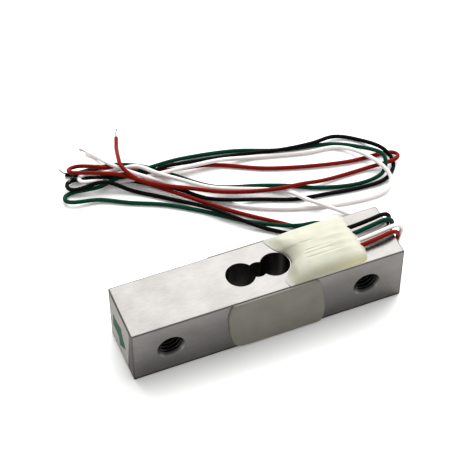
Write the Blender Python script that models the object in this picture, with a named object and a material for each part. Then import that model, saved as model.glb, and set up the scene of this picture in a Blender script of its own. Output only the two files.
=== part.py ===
"""Micro load cell: a drilled aluminium beam with sealed strain gauges and four thin lead wires.

The bar lies along X with the labelled end at -X. Its front face looks along -Y, +Z is up,
and the underside of the bar is at z = 0. Sizes below are in millimetres.
"""

import math

import bmesh
import bpy
from mathutils import Matrix, Vector

MM = 0.001

# The beam
BAR_LENGTH = 55.25
BAR_WIDTH = 12.7
BAR_HEIGHT = 12.7
EDGE_BREAK = 0.3

# Two relief bores joined by a smaller one, drilled from the top, leave four thin walls
RELIEF_RADIUS = 2.9
RELIEF_SPACING = 7.0
WAIST_RADIUS = 1.85

# Tapped mounting holes, drilled from front to back
HOLE_SPACING = 40.0
TAP_DRILL_RADIUS = 2.1
COUNTERSINK_RADIUS = 2.75

# Sealant pads over the gauges, one on the front face and one on the back
PAD_LEFT = -8.5
PAD_RIGHT = 11.2
PAD_EDGE_GAP = 0.15
PAD_THICKNESS = 0.55
PAD_ROUNDING = 0.35
PAD_HOLLOW_DEPTH = 0.3
PAD_HOLLOW_GAP = 0.35

# Foil gauges sit over the thin walls, with a pair of solder tabs between them
GAUGE_LENGTH = 4.4
GAUGE_HEIGHT = 3.0
GAUGE_THICKNESS = 0.1
TAB_GAP = 0.4
TAB_HEIGHT = 2.2
TAB_THICKNESS = 0.14
TAB_RISE = 1.9

# Enamelled jumpers run from the tabs over the top edge to the terminal strip
JUMPER_RADIUS = 0.09
JUMPER_PITCH = 0.8
JUMPER_INSET = 0.4
JUMPER_CLEARANCE = 0.04
JUMPER_SLOT_GAP = 0.3

# Terminal strip on the top face, where the leads are soldered
STRIP_START = 8.0
STRIP_LENGTH = 4.8
STRIP_WIDTH = 7.6
STRIP_THICKNESS = 0.25
SOLDER_RADIUS = 0.28
SOLDER_LENGTH = 1.4

# Silicone cover over the strip and the first stretch of the leads
COVER_START = RELIEF_SPACING / 2
COVER_END = 20.8
COVER_HOLLOW_GAP = 0.3
COVER_EDGE_GAP = 0.1
COVER_RIM = 0.3
COVER_CROWN = 2.05
COVER_RIDGE = 0.3
COVER_RIDGE_WIDTH = 0.55
COVER_NOTCH_CLEARANCE = 0.35

# End label
LABEL_SIZE = 11.9
LABEL_THICKNESS = 0.1
LABEL_CORNER = 0.5

# Lead wires
WIRE_RADIUS = 0.43
CONDUCTOR_RADIUS = 0.14
WIRE_CHANNEL_GAP = 0.22
WIRE_END_GAP = 0.05
LEAD_INSET = 0.4
LEAD_RISE = 1.0
LEAD_SHIFT = -0.15
WIRE_STEPS = 80
EASE_STEP = 0.2
EASE_REACH = 3
EASE_PASSES = 2

ROUND_SIDES = 48
CHANNEL_SIDES = 16
CUT_MARGIN = 1.0

# Each lead leaves the cover, drops over the end of the bar, turns back along the floor
# behind it, and lies in two long bends. Points are (x, y, z), and a lead starts under the cover.
RED_ROUTE = [
    (19.5, -2.8, BAR_HEIGHT + 1.1), (24.0, -2.5, BAR_HEIGHT + 1.3), (27.2, -2.0, BAR_HEIGHT + 1.2),
    (28.6, -1.6, BAR_HEIGHT - 0.3), (28.6, -0.7, 8.6), (29.6, 2.2, 3.2), (29.3, 9.5, 0.6),
    (23.2, 14.2, 1.6), (18.4, 15.3, 0.6), (13.3, 19.3, 0.6), (5.3, 26.3, 0.5), (-1.9, 32.8, 1.3),
    (-7.6, 38.6, 1.5), (-11.9, 41.6, 2.9), (-14.2, 42.6, 3.5), (-21.2, 46.7, 2.6), (-22.2, 47.6, 2.2),
    (-22.3, 48.8, 1.8), (-21.6, 49.6, 1.3), (-20.3, 49.8, 1.2), (-17.4, 47.8, 2.0), (-9.2, 44.8, 0.5),
    (-3.7, 41.4, 1.5), (6.2, 40.0, 0.6), (17.6, 34.4, 0.5), (33.4, 29.9, 0.6), (42.0, 29.4, 0.5),
    (43.6, 28.6, 0.7), (43.8, 27.1, 1.1), (42.3, 26.0, 1.5), (35.6, 26.7, 0.6), (26.4, 26.7, 0.8),
    (21.5, 26.8, 1.6), (16.2, 27.5, 1.5), (6.7, 30.8, 1.1), (-0.6, 33.7, 2.3), (-6.7, 37.4, 2.4),
    (-10.5, 39.8, 3.4), (-12.3, 43.5, 4.3), (-11.9, 46.2, 3.7), (-10.9, 50.6, 2.1), (-9.6, 54.7, 1.1),
]
BLACK_ROUTE = [
    (19.5, 2.2, BAR_HEIGHT + 1.1), (24.3, 2.3, BAR_HEIGHT + 1.4), (27.6, 2.7, BAR_HEIGHT + 1.3),
    (28.9, 3.0, BAR_HEIGHT - 0.2), (28.8, 3.8, 8.4), (29.0, 5.4, 3.8),
    (26.8, 8.9, 1.0), (19.0, 13.1, 0.5), (11.4, 17.7, 0.6), (4.8, 23.6, 1.5), (1.3, 27.7, 1.5),
    (-5.1, 34.1, 0.6), (-11.5, 39.1, 0.7), (-16.6, 42.0, 2.6), (-22.2, 43.0, 1.5), (-23.7, 43.8, 1.4),
    (-23.7, 45.6, 1.2), (-22.2, 46.4, 1.0), (-18.6, 45.6, 0.5), (-13.9, 43.1, 2.6), (-6.8, 41.7, 1.5),
    (-4.2, 41.5, 2.5), (3.1, 42.4, 0.6), (15.1, 39.8, 0.9), (22.1, 37.8, 1.3), (28.2, 37.0, 1.5),
    (33.8, 37.7, 0.8), (38.4, 35.0, 0.5), (41.5, 29.4, 1.7), (42.2, 26.1, 0.5), (38.5, 22.3, 0.7),
    (33.2, 22.1, 0.5), (24.5, 23.3, 0.5), (19.0, 24.2, 0.5), (11.5, 27.1, 0.6), (5.3, 28.6, 1.5),
    (1.3, 31.2, 1.2), (-2.8, 35.4, 1.4), (-7.5, 39.6, 0.6), (-13.2, 44.0, 0.5), (-22.9, 49.0, 0.5),
]
GREEN_ROUTE = [
    (19.5, 0.5, BAR_HEIGHT + 1.1), (23.8, 0.8, BAR_HEIGHT + 1.4), (27.5, 1.3, BAR_HEIGHT + 1.3),
    (28.9, 1.6, BAR_HEIGHT - 0.2), (28.8, 2.3, 8.6), (29.9, 4.0, 3.9),
    (28.0, 9.2, 0.8), (20.6, 16.1, 0.8), (15.7, 16.5, 1.6), (8.2, 21.5, 0.6), (-0.7, 28.9, 0.5),
    (-6.7, 33.1, 0.5), (-13.1, 36.3, 0.5), (-18.7, 39.3, 0.7), (-23.8, 40.2, 1.1), (-25.2, 41.0, 1.0),
    (-25.2, 42.7, 0.7), (-23.7, 43.5, 0.5), (-17.4, 42.3, 1.2), (-13.7, 42.9, 1.6),
    (-9.4, 43.2, 1.5), (-5.8, 42.9, 2.0), (0.4, 44.1, 0.7), (12.1, 42.2, 0.5), (21.3, 38.7, 0.5),
    (32.4, 36.1, 0.5), (37.2, 33.2, 0.6), (40.2, 27.2, 2.7), (39.8, 25.1, 1.9), (38.2, 23.6, 1.1), (33.1, 23.2, 0.6),
    (24.4, 25.5, 0.5), (18.9, 28.4, 0.5), (13.7, 30.6, 0.5), (4.6, 34.0, 0.5), (-3.1, 41.4, 0.5),
    (-7.0, 45.1, 0.5), (-12.6, 47.8, 0.6), (-17.1, 48.2, 0.6), (-20.6, 47.4, 1.6), (-22.1, 47.3, 0.9),
]
WHITE_ROUTE = [
    (19.5, -1.5, BAR_HEIGHT + 1.1), (25.0, -1.3, BAR_HEIGHT + 1.5), (28.4, -0.8, BAR_HEIGHT + 1.3),
    (29.9, -0.4, BAR_HEIGHT - 0.4), (30.2, 0.7, 8.2), (31.0, 2.8, 4.3),
    (30.9, 9.5, 1.1), (27.1, 16.3, 0.5), (20.6, 21.6, 2.1), (17.8, 27.0, 0.6), (3.7, 33.4, 1.2),
    (-0.4, 37.1, 1.1), (-5.6, 40.1, 2.7), (-8.8, 43.7, 2.6), (-12.8, 45.3, 1.5), (-16.9, 45.7, 1.5),
    (-19.4, 46.7, 1.4), (-20.9, 45.9, 1.7), (-20.9, 44.2, 2.1), (-19.4, 43.4, 2.4), (-18.0, 43.4, 2.0), (-14.4, 43.2, 0.5), (-10.0, 41.3, 1.5), (0.5, 40.1, 2.0), (8.2, 39.7, 1.6),
    (13.8, 39.1, 0.7), (26.8, 35.8, 0.5), (32.4, 35.0, 0.5), (35.9, 32.0, 1.1), (38.8, 24.3, 2.4),
    (39.3, 21.3, 1.2), (36.6, 19.1, 0.6), (20.7, 21.0, 0.5), (8.5, 26.3, 0.5), (0.3, 33.2, 0.5),
    (-3.9, 38.1, 0.7), (-10.6, 41.7, 3.3), (-13.7, 46.3, 2.6), (-15.0, 51.1, 0.6), (-16.8, 53.7, 0.6),
]

# Bare copper beyond the insulation of each lead, from the cut end to the tip
RED_TIP = [(-9.2, 56.0, 1.1), (-8.7, 57.1, 1.2)]
BLACK_TIP = [(-23.4, 49.7, 0.8), (-23.8, 50.5, 1.1)]
GREEN_TIP = [(-22.6, 46.2, 1.8), (-23.3, 45.2, 2.1)]
WHITE_TIP = [(-17.3, 54.2, 0.7), (-17.7, 54.6, 0.8)]

# Colour, roughness and metallic value of each material
FINISHES = {
    "aluminium": ((0.62, 0.62, 0.61), 0.35, 1.0),
    "sealant": ((0.32, 0.29, 0.24), 0.55, 0.0),
    "silicone": ((0.84, 0.83, 0.70), 0.4, 0.0),
    "polyimide": ((0.45, 0.22, 0.05), 0.4, 0.0),
    "glass_epoxy": ((0.10, 0.25, 0.12), 0.5, 0.0),
    "solder": ((0.60, 0.60, 0.58), 0.3, 1.0),
    "copper": ((0.72, 0.42, 0.28), 0.3, 1.0),
    "label": ((0.78, 0.80, 0.77), 0.6, 0.0),
    "red_pvc": ((0.45, 0.03, 0.02), 0.35, 0.0),
    "black_pvc": ((0.01, 0.01, 0.012), 0.35, 0.0),
    "green_pvc": ((0.0, 0.09, 0.055), 0.35, 0.0),
    "white_pvc": ((0.80, 0.76, 0.76), 0.35, 0.0),
}


def clear_scene():
    for item in list(bpy.data.objects):
        bpy.data.objects.remove(item, do_unlink=True)


def material(name):
    found = bpy.data.materials.get(name)
    if found:
        return found
    colour, roughness, metallic = FINISHES[name]
    made = bpy.data.materials.new(name)
    made.use_nodes = True
    shader = made.node_tree.nodes["Principled BSDF"]
    shader.inputs["Base Color"].default_value = (*colour, 1.0)
    shader.inputs["Roughness"].default_value = roughness
    shader.inputs["Metallic"].default_value = metallic
    return made


def scaled(points):
    return [Vector(point) * MM for point in points]


def add_object(name, data, finish):
    item = bpy.data.objects.new(name, data)
    bpy.context.scene.collection.objects.link(item)
    if finish:
        data.materials.append(material(finish))
    return item


def mesh_object(name, shape, finish, smooth_angle=40.0):
    """Turn a bmesh into an object with outward faces, and free the bmesh."""
    bmesh.ops.recalc_face_normals(shape, faces=shape.faces)
    mesh = bpy.data.meshes.new(name)
    shape.to_mesh(mesh)
    shape.free()
    mesh.shade_smooth()
    mesh.set_sharp_from_angle(angle=math.radians(smooth_angle))
    return add_object(name, mesh, finish)


def cut(target, cutter, parts_meet=False):
    """Subtract the cutter from the target, and keep the cutter as a hidden guide."""
    cutter.hide_render = True
    cutter.display_type = "WIRE"
    modifier = target.modifiers.new(cutter.name, "BOOLEAN")
    modifier.operation = "DIFFERENCE"
    modifier.solver = "EXACT"
    modifier.use_self = parts_meet
    modifier.object = cutter


def box(low, high):
    """A bmesh box between two corners in millimetres."""
    shape = bmesh.new()
    size = [b - a for a, b in zip(low, high)]
    middle = [(a + b) / 2 for a, b in zip(low, high)]
    place = Matrix.Translation(Vector(middle) * MM) @ Matrix.Diagonal((*[s * MM for s in size], 1.0))
    bmesh.ops.create_cube(shape, size=1.0, matrix=place)
    return shape


def stacked_rings(rings):
    """A closed bmesh skin over rings of equal length, with a flat cap at each end."""
    shape = bmesh.new()
    loops = [[shape.verts.new(point) for point in ring] for ring in rings]
    count = len(loops[0])
    for lower, upper in zip(loops, loops[1:]):
        for i in range(count):
            j = (i + 1) % count
            shape.faces.new((lower[i], lower[j], upper[j], upper[i]))
    shape.faces.new(list(reversed(loops[0])))
    shape.faces.new(loops[-1])
    return shape


def circle(radius, along, turn):
    """Points of a circle in millimetres; turn places (a, b, along) on the model's axes."""
    steps = [2 * math.pi * i / ROUND_SIDES for i in range(ROUND_SIDES)]
    return [turn(radius * math.cos(a), radius * math.sin(a), along) * MM for a in steps]


def smooth_curve(points, steps):
    """Centripetal Catmull-Rom curve through the points, with the given steps for each stretch."""
    ends = [2 * points[0] - points[1], *points, 2 * points[-1] - points[-2]]
    curve = []
    for i in range(1, len(ends) - 2):
        p0, p1, p2, p3 = ends[i - 1:i + 3]
        t1 = (p1 - p0).length ** 0.5
        t2 = t1 + (p2 - p1).length ** 0.5
        t3 = t2 + (p3 - p2).length ** 0.5
        for k in range(steps):
            t = t1 + (t2 - t1) * k / steps
            a1 = p0.lerp(p1, t / t1)
            a2 = p1.lerp(p2, (t - t1) / (t2 - t1))
            a3 = p2.lerp(p3, (t - t2) / (t3 - t2))
            b1 = a1.lerp(a2, t / t2)
            b2 = a2.lerp(a3, (t - t1) / (t3 - t1))
            curve.append(b1.lerp(b2, (t - t1) / (t2 - t1)))
    curve.append(points[-1].copy())
    return curve


def closed_curve(points, steps):
    """Closed Catmull-Rom outline through flat points."""
    count = len(points)
    outline = []
    for i in range(count):
        p0, p1, p2, p3 = (Vector(points[(i + k) % count]) for k in (-1, 0, 1, 2))
        for k in range(steps):
            t = k / steps
            outline.append(0.5 * (2 * p1 + (p2 - p0) * t + (2 * p0 - 5 * p1 + 4 * p2 - p3) * t ** 2
                                  + (3 * p1 - p0 - 3 * p2 + p3) * t ** 3))
    return outline


def evened(curve):
    """The curve at even steps, with its tightest bends eased as a springy wire eases them."""
    points = [curve[0]]
    left = EASE_STEP * MM
    for a, b in zip(curve, curve[1:]):
        span = (b - a).length
        while span > left:
            a = a.lerp(b, left / span)
            points.append(a)
            span = (b - a).length
            left = EASE_STEP * MM
        left -= span
    points.append(curve[-1])
    for _ in range(EASE_PASSES):
        last = len(points) - 1
        reaches = [min(EASE_REACH, i, last - i) for i in range(last + 1)]
        points = [sum(points[i - k:i + k + 1], Vector()) / (2 * k + 1) for i, k in enumerate(reaches)]
    return points


def spaced_by_bend(curve, count):
    """Pick points along a fine curve, closer together where it bends."""
    weights = [0.0]
    for i in range(1, len(curve)):
        step = (curve[i] - curve[i - 1]).length
        turn = 0.0
        if i + 1 < len(curve):
            turn = (curve[i] - curve[i - 1]).angle(curve[i + 1] - curve[i], 0.0)
        weights.append(weights[-1] + step / MM + 4.5 * turn)
    picked = [curve[0]]
    i = 0
    for k in range(1, count - 1):
        wanted = weights[-1] * k / (count - 1)
        while weights[i] < wanted:
            i += 1
        picked.append(curve[i])
    picked.append(curve[-1])
    return picked


def tube(name, points, radius, finish, sides_step=2, radii=None):
    """A round tube with closed ends along the points."""
    curve = bpy.data.curves.new(name, "CURVE")
    curve.dimensions = "3D"
    curve.bevel_depth = radius * MM
    curve.bevel_resolution = sides_step
    curve.use_fill_caps = True
    spline = curve.splines.new("POLY")
    spline.points.add(len(points) - 1)
    for i, point in enumerate(points):
        spline.points[i].co = (*point, 1.0)
        spline.points[i].radius = radii[i] if radii else 1.0
    return add_object(name, curve, finish)


def make_body():
    """The bar, its relief bores from the top and its two tapped holes from the front."""
    half = (BAR_LENGTH / 2, BAR_WIDTH / 2)
    shape = box((-half[0], -half[1], 0.0), (half[0], half[1], BAR_HEIGHT))
    bmesh.ops.bevel(shape, geom=shape.edges[:], offset=EDGE_BREAK * MM, segments=2, profile=0.5,
                    affect="EDGES")
    body = mesh_object("load_cell_body", shape, "aluminium", 20.0)

    def upright(a, b, along):
        return Vector((a, b, along))

    bores = [(-RELIEF_SPACING / 2, RELIEF_RADIUS), (RELIEF_SPACING / 2, RELIEF_RADIUS), (0.0, WAIST_RADIUS)]
    for number, (x, radius) in enumerate(bores):
        rings = [circle(radius, z, upright) for z in (-CUT_MARGIN, BAR_HEIGHT + CUT_MARGIN)]
        rings = [[point + Vector((x * MM, 0, 0)) for point in ring] for ring in rings]
        cut(body, mesh_object(f"relief_cutter_{number}", stacked_rings(rings), None))

    def across(a, b, along):
        return Vector((b, along, a + BAR_HEIGHT / 2))

    sink = COUNTERSINK_RADIUS - TAP_DRILL_RADIUS
    wall = half[1]
    profile = [(COUNTERSINK_RADIUS, wall + CUT_MARGIN), (COUNTERSINK_RADIUS, wall), (TAP_DRILL_RADIUS, wall - sink),
               (TAP_DRILL_RADIUS, sink - wall), (COUNTERSINK_RADIUS, -wall), (COUNTERSINK_RADIUS, -wall - CUT_MARGIN)]
    for side, x in (("left", -HOLE_SPACING / 2), ("right", HOLE_SPACING / 2)):
        rings = [circle(radius, y, across) for radius, y in profile]
        rings = [[point + Vector((x * MM, 0, 0)) for point in ring] for ring in rings]
        cut(body, mesh_object(f"tap_cutter_{side}", stacked_rings(rings), None))


def face_point(side, x, out, z):
    """A point on or off the front face (side -1) or the back face (side 1), in metres."""
    return Vector((x, side * (BAR_WIDTH / 2 + out), z)) * MM


def make_pad(side, word):
    """A poured sealant pad, open towards the bar over the gauges, the tabs and the jumpers."""
    shares = [(0.05, 1.0), (0.0, 0.82), (0.0, 0.5), (0.02, 0.27), (0.08, 0.05), (0.3, 0.0), (0.6, 0.0),
              (0.88, 0.0), (0.965, 0.02), (1.0, 0.25), (0.985, 0.53), (0.95, 0.86), (0.92, 0.98), (0.6, 1.0),
              (0.3, 1.0)]
    low = PAD_EDGE_GAP
    high = BAR_HEIGHT - PAD_EDGE_GAP
    points = [(PAD_LEFT + u * (PAD_RIGHT - PAD_LEFT), low + v * (high - low)) for u, v in shares]
    outline = closed_curve(points, 4)
    middle = Vector(((PAD_LEFT + PAD_RIGHT) / 2, BAR_HEIGHT / 2))
    half = Vector(((PAD_RIGHT - PAD_LEFT) / 2, (high - low) / 2))
    rings = []
    for inset, out in ((0.0, 0.0), (0.0, 0.3), (0.35, 0.8), (1.0, 1.0)):
        ring = []
        for point in outline:
            away = point - middle
            x = middle.x + away.x * (1 - inset * PAD_ROUNDING / half.x)
            z = middle.y + min(max(away.y, -half.y), half.y) * (1 - inset * PAD_ROUNDING / half.y)
            ring.append(face_point(side, x, out * PAD_THICKNESS, z))
        rings.append(ring)
    pad = mesh_object(f"{word}_gauge_cover", stacked_rings(rings), "sealant", 50.0)

    gap = PAD_HOLLOW_GAP
    left = -RELIEF_SPACING / 2 - GAUGE_LENGTH / 2 - gap
    right = jumper_x(0) + gap
    low = BAR_HEIGHT / 2 - GAUGE_HEIGHT / 2 - gap
    high = jumper_run_height(1) + gap
    for number, (x0, z0, x1, z1) in enumerate((
        (left, low, right, high),
        (jumper_x(1) - gap, high - gap, right, BAR_HEIGHT + CUT_MARGIN),
    )):
        corners = [face_point(side, x0, -CUT_MARGIN, z0), face_point(side, x1, PAD_HOLLOW_DEPTH, z1)]
        low_corner = [min(a, b) / MM for a, b in zip(*corners)]
        high_corner = [max(a, b) / MM for a, b in zip(*corners)]
        cut(pad, mesh_object(f"{word}_hollow_cutter_{number}", box(low_corner, high_corner), None))


def plate_on_face(name, side, x, z, length, height, thickness, finish):
    """A thin rectangular piece that lies flat on the front or back face."""
    corners = [face_point(side, x - length / 2, 0.0, z - height / 2),
               face_point(side, x + length / 2, thickness, z + height / 2)]
    low = [min(a, b) / MM for a, b in zip(*corners)]
    high = [max(a, b) / MM for a, b in zip(*corners)]
    mesh_object(name, box(low, high), finish)


def make_gauges(side, word):
    for hand, x in (("left", -RELIEF_SPACING / 2), ("right", RELIEF_SPACING / 2)):
        plate_on_face(f"strain_gauge_{word}_{hand}", side, x, BAR_HEIGHT / 2, GAUGE_LENGTH, GAUGE_HEIGHT,
                      GAUGE_THICKNESS, "polyimide")
    plate_on_face(f"solder_tabs_{word}", side, 0.0, BAR_HEIGHT / 2 + TAB_RISE, tab_length(), TAB_HEIGHT,
                  TAB_THICKNESS, "copper")


def tab_length():
    """The tabs fill the space between the two gauges of a face, less a gap on each side."""
    return RELIEF_SPACING - GAUGE_LENGTH - 2 * TAB_GAP


def jumper_x(number):
    """Place of a jumper along the bar, where it goes up beside the terminal strip."""
    return STRIP_START + JUMPER_INSET + (1 - number) * JUMPER_PITCH


def jumper_run_height(number):
    """Height of a jumper's run along the face, just above the gauges."""
    return BAR_HEIGHT / 2 + GAUGE_HEIGHT / 2 + 0.5 + number * JUMPER_PITCH


def make_jumpers(side, word):
    """Two enamelled wires from the solder tabs over the top edge to the terminal strip."""
    lift = JUMPER_RADIUS + JUMPER_CLEARANCE
    start = tab_length() / 2 + lift
    for number in (0, 1):
        x = jumper_x(number)
        run = jumper_run_height(number)
        top = BAR_HEIGHT + lift
        edge = BAR_HEIGHT - EDGE_BREAK
        end = STRIP_WIDTH / 2 + lift - BAR_WIDTH / 2
        points = [face_point(side, start, lift, run), face_point(side, x - 0.5, lift, run),
                  face_point(side, x - 0.15, lift, run + 0.12), face_point(side, x, lift, run + 0.45),
                  face_point(side, x, lift, edge - 0.1), face_point(side, x, lift - 0.04, edge + 0.15),
                  face_point(side, x, -0.15, top - 0.04), face_point(side, x, -EDGE_BREAK - 0.1, top),
                  face_point(side, x, end, top)]
        tube(f"jumper_{word}_{number + 1}", points, JUMPER_RADIUS, "copper", 1)


def make_terminal_strip():
    low = (STRIP_START, -STRIP_WIDTH / 2, BAR_HEIGHT)
    high = (STRIP_START + STRIP_LENGTH, STRIP_WIDTH / 2, BAR_HEIGHT + STRIP_THICKNESS)
    mesh_object("terminal_strip", box(low, high), "glass_epoxy")


def lead_start(row):
    """The cut end of a lead's insulation under the cover; rows 0 to 3 go from front to back."""
    pitch = STRIP_WIDTH / 4
    y = (row - 1.5) * pitch + LEAD_SHIFT
    return (STRIP_START + STRIP_LENGTH + LEAD_INSET, y, BAR_HEIGHT + LEAD_RISE)


def make_solder_joint(colour, row):
    """Solder on the strip that narrows into the tinned end of one lead."""
    x, y, z = lead_start(row)
    top = BAR_HEIGHT + STRIP_THICKNESS
    end = STRIP_START + STRIP_LENGTH
    length = SOLDER_LENGTH
    points = [(end - length, y, top + 0.12), (end - 0.82 * length, y, top + 0.22), (end - 0.57 * length, y, top + 0.30),
              (end - 0.32 * length, y, top + 0.32), (end - 0.07 * length, y, top + 0.42), (x - 0.1, y, z)]
    radii = [0.35, 0.75, 1.0, 1.0, 0.6, CONDUCTOR_RADIUS / SOLDER_RADIUS]
    tube(f"solder_joint_{colour}", scaled(points), SOLDER_RADIUS, "solder", 2, radii)


def cover_height(x, y, share, lead_rows):
    """Height of the silicone above the bar; share is 1 at the outline and 0 in the middle."""
    crown = COVER_CROWN * math.sqrt(max(0.0, 1.0 - share ** 4))
    thin = min(1.0, max(0.0, (x - COVER_START) / (STRIP_START - COVER_START)))
    ridges = sum(math.exp(-((y - row) / COVER_RIDGE_WIDTH) ** 2) for row in lead_rows)
    over_leads = min(1.0, max(0.0, (x - STRIP_START - STRIP_LENGTH) / 2.0))
    return COVER_RIM + crown * (0.25 + 0.75 * thin) + COVER_RIDGE * ridges * over_leads * math.sqrt(1 - share)


def make_lead_cover(routes):
    """The silicone cover, shaped round the relief bore and hollow over strip, jumpers and leads."""
    side = BAR_WIDTH / 2 - COVER_EDGE_GAP
    hole = RELIEF_SPACING / 2
    notch = RELIEF_RADIUS + COVER_NOTCH_CLEARANCE
    turns = [math.radians(angle) for angle in (60, 30, 0, -30, -60)]
    points = [(hole + notch * math.cos(a), notch * math.sin(a)) for a in turns]
    points += [(COVER_START + 0.2, -0.75 * side), (COVER_START + 0.7, -side), (0.5 * (COVER_START + COVER_END), -side),
               (COVER_END - 1.3, -side), (COVER_END - 0.4, -0.73 * side), (COVER_END, -0.3 * side),
               (COVER_END - 0.3, 0.1 * side), (COVER_END - 0.6, 0.45 * side), (COVER_END - 0.9, side),
               (0.5 * (COVER_START + COVER_END), side), (COVER_START + 0.3, side), (COVER_START + 0.8, 0.66 * side)]
    outline = closed_curve(points, 3)
    outline = [Vector((p.x, min(max(p.y, -side), side))) for p in outline]
    middle = Vector((STRIP_START + STRIP_LENGTH - 0.3, 0.0))
    rows = [lead_start(row)[1] for row in range(len(routes))]
    rings = [[Vector((p.x, p.y, BAR_HEIGHT)) * MM for p in outline]]
    for share in (1.0, 0.96, 0.9, 0.8, 0.66, 0.5, 0.34, 0.18, 0.05):
        ring = []
        for p in outline:
            q = middle + (p - middle) * share
            ring.append(Vector((q.x, q.y, BAR_HEIGHT + cover_height(q.x, q.y, share, rows))) * MM)
        rings.append(ring)
    cover = mesh_object("lead_cover", stacked_rings(rings), "silicone", 60.0)

    gap = COVER_HOLLOW_GAP
    base = BAR_HEIGHT - CUT_MARGIN
    strip_end = STRIP_START + STRIP_LENGTH
    lead_end = strip_end + LEAD_INSET
    half = STRIP_WIDTH / 2
    over_strip = BAR_HEIGHT + STRIP_THICKNESS + gap
    over_leads = BAR_HEIGHT + LEAD_RISE + WIRE_RADIUS
    pockets = [
        ((STRIP_START - gap, -half - gap, base), (strip_end + gap, half + gap, over_strip)),
        ((strip_end - SOLDER_LENGTH - gap, -half, base), (lead_end + gap, half, over_leads)),
        ((jumper_x(1) - JUMPER_SLOT_GAP, -BAR_WIDTH / 2 - CUT_MARGIN, base),
         (jumper_x(0) + JUMPER_SLOT_GAP, BAR_WIDTH / 2 + CUT_MARGIN, BAR_HEIGHT + gap)),
    ]
    for number, (low, high) in enumerate(pockets):
        cut(cover, mesh_object(f"cover_pocket_cutter_{number}", box(low, high), None))
    cut(cover, mesh_object("lead_channel_cutter", lead_channels(routes), None), parts_meet=True)


def lead_channels(routes):
    """Four round channels, one along each lead, from its cut end out through the end of the cover."""
    shape = bmesh.new()
    for row, route in enumerate(routes):
        start = Vector(lead_start(row))
        along = Vector(route[0]) - start
        path = along * (COVER_END + CUT_MARGIN - start.x) / along.x
        place = Matrix.Translation((start + path / 2) * MM) @ path.to_track_quat("Z", "Y").to_matrix().to_4x4()
        radius = (WIRE_RADIUS + WIRE_CHANNEL_GAP) * MM
        bmesh.ops.create_cone(shape, cap_ends=True, segments=CHANNEL_SIDES, radius1=radius, radius2=radius,
                              depth=path.length * MM, matrix=place)
    return shape


def make_label():
    """A square sticker with rounded corners on the left end face."""
    half = LABEL_SIZE / 2
    face = -BAR_LENGTH / 2
    outline = []
    for corner, (sy, sz) in enumerate(((1, 1), (-1, 1), (-1, -1), (1, -1))):
        for k in range(4):
            angle = math.radians(90 * corner + 30 * k)
            outline.append((sy * (half - LABEL_CORNER) + LABEL_CORNER * math.cos(angle),
                            sz * (half - LABEL_CORNER) + LABEL_CORNER * math.sin(angle)))
    rings = [[Vector((x, y, z + BAR_HEIGHT / 2)) * MM for y, z in outline] for x in (face, face - LABEL_THICKNESS)]
    mesh_object("end_label", stacked_rings(rings), "label")


def make_lead(colour, row, route, tip):
    """One insulated lead and the stripped copper at its free end."""
    fine = evened(smooth_curve(scaled([lead_start(row), *route]), 24))
    tube(f"{colour}_wire", spaced_by_bend(fine, WIRE_STEPS), WIRE_RADIUS, f"{colour}_pvc", 2)
    end = fine[-1]
    out = (end - fine[-2]).normalized()
    bare = [end + out * WIRE_END_GAP * MM, *scaled(tip)]
    tube(f"{colour}_conductor", smooth_curve(bare, 3), CONDUCTOR_RADIUS, "copper", 1)


def main():
    clear_scene()
    make_body()
    for side, word in ((-1, "front"), (1, "back")):
        make_pad(side, word)
        make_gauges(side, word)
        make_jumpers(side, word)
    leads = [("red", RED_ROUTE, RED_TIP), ("white", WHITE_ROUTE, WHITE_TIP), ("green", GREEN_ROUTE, GREEN_TIP),
             ("black", BLACK_ROUTE, BLACK_TIP)]
    make_terminal_strip()
    make_lead_cover([route for _, route, _ in leads])
    make_label()
    for row, (colour, route, tip) in enumerate(leads):
        make_solder_joint(colour, row)
        make_lead(colour, row, route, tip)


main()
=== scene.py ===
# %% [markdown]
# # A micro load cell, from its fixed frame to a finished render
# A load cell turns a push into a tiny voltage. This one is a square aluminium bar with a dog-bone
# hole through its middle. The hole leaves four thin walls, and a foil strain gauge is glued over
# each of them. When the load end is pushed, those walls bend by a few hundredths of a millimetre
# and the gauges change their resistance. Sealant pads protect the gauges, a lump of silicone
# covers the solder terminals, and four thin leads carry the signal out.
#
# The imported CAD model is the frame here: it is loaded first, and every piece made below sits where
# a CAD node says, in metres, with +X along the bar and +Z up.

# %% Load the frame
import math

import bmesh
import bpy
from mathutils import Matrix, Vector, noise


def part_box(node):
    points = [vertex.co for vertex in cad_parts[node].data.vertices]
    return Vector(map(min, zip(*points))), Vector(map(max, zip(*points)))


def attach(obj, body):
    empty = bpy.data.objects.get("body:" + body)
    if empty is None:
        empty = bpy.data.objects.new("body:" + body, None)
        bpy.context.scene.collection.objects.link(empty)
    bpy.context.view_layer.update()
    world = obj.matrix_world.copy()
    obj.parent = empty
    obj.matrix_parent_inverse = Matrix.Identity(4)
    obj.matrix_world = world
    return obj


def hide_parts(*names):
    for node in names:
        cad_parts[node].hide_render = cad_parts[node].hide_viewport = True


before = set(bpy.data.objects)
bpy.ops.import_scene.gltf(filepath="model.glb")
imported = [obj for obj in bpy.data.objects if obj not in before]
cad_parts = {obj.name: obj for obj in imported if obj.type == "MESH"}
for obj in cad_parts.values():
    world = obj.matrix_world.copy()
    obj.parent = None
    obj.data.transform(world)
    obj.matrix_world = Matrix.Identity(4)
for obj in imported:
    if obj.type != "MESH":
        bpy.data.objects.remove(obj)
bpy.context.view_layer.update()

MM = 0.001
bar_low, bar_high = (Vector(corner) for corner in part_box("load_cell_body"))
bar_length, bar_width, bar_height = bar_high - bar_low
print(f"bar: {bar_length / MM:.2f} x {bar_width / MM:.2f} x {bar_height / MM:.2f} mm")

# %% [markdown]
# ## The camera
# The photograph is a product shot from well above and a little to the left. Its perspective is
# weak, so it was taken from far away with a long lens. The angles, the distance and the lens were
# found by fitting the bar's corners and holes to their places in the picture.

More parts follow.
